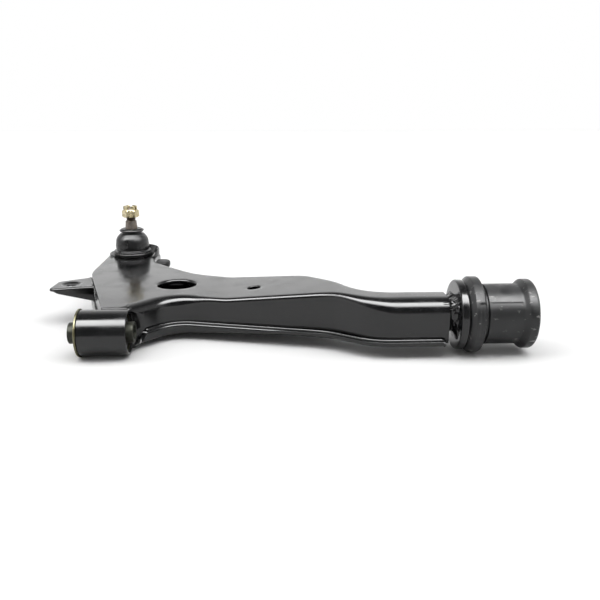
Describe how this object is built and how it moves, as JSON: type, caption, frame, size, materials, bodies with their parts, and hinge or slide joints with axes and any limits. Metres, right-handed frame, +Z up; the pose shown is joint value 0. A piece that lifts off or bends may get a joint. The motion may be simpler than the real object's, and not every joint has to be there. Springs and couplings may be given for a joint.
{
  "type": "control arm",
  "caption": "Front lower control arm: pressed steel box with a sleeved pivot bush, a clamp-type rear rubber bush, a ball joint with boot and castle nut, and a stabiliser tab.",
  "frame": {"origin": "middle of the front bush's inner sleeve, on the pivot bolt's axis", "axes": "+X along the pivot line from the front bush to the rear bush, +Y outboard to the ball joint, +Z up along the ball stud"},
  "size_m": [0.5016, 0.3426, 0.1107],
  "materials": {
    "gloss_black_paint": "gloss black paint on pressed and welded steel",
    "cast_black": "rough black casting",
    "yellow_zinc": "yellow passivated zinc plating on steel",
    "bush_rubber": "satin moulded rubber with handling marks",
    "boot_rubber": "satin rubber",
    "phosphated_steel": "grey-green phosphated steel",
    "stud_steel": "bare ground steel, slightly browned",
    "ring_steel": "spring steel wire",
    "seat_plastic": "off-white bearing plastic"
  },
  "bodies": {
    "arm": {"upper_shell": "gloss_black_paint", "lower_shell": "gloss_black_paint", "seam_weld": "gloss_black_paint", "front_bush_tube": "gloss_black_paint", "tube_weld": "gloss_black_paint", "front_outer_sleeve": "yellow_zinc", "front_bush_rubber": "bush_rubber", "leg_end_plate": "gloss_black_paint", "rear_spindle": "phosphated_steel", "spindle_weld": "gloss_black_paint", "rear_collar": "gloss_black_paint", "rear_inner_sleeve": "phosphated_steel", "stabiliser_bracket": "gloss_black_paint", "bracket_weld": "gloss_black_paint", "steering_stop": "cast_black", "ball_joint_housing": "gloss_black_paint", "ball_joint_cover": "gloss_black_paint", "ball_seat": "seat_plastic", "boot_lower_ring": "ring_steel"},
    "front_sleeve": {"front_inner_sleeve": "phosphated_steel"},
    "rear_bush": {"rear_bush_rubber": "bush_rubber"},
    "boot": {"dust_boot": "boot_rubber"},
    "stud_carrier": {"boot_upper_ring": "ring_steel"},
    "stud": {"ball_stud": "stud_steel", "castle_nut": "yellow_zinc"}
  },
  "joints": [
    {"name": "front_bush_twist", "type": "hinge", "parent": "arm", "child": "front_sleeve", "pos_m": [0, 0, 0], "axis": [1, 0, 0], "range_deg": [-22, 22], "stiffness_Nm_per_rad": 25},
    {"name": "rear_bush_twist", "type": "hinge", "parent": "arm", "child": "rear_bush", "pos_m": [0.3875, 0, 0.01375], "axis": [1, 0, 0], "range_deg": [-22, 22], "stiffness_Nm_per_rad": 30},
    {"name": "stud_tilt_fore_aft", "type": "hinge", "parent": "arm", "child": "boot", "pos_m": [-0.0165, 0.268, 0.004], "axis": [0, 1, 0], "range_deg": [-18, 18], "deforming": ["dust_boot"]},
    {"name": "stud_tilt_side", "type": "hinge", "parent": "boot", "child": "stud_carrier", "pos_m": [-0.0165, 0.268, 0.004], "axis": [1, 0, 0], "range_deg": [-18, 18], "deforming": ["dust_boot"]},
    {"name": "stud_spin", "type": "hinge", "parent": "stud_carrier", "child": "stud", "pos_m": [-0.0165, 0.268, 0.004], "axis": [0, 0, 1], "continuous": true}
  ]
}
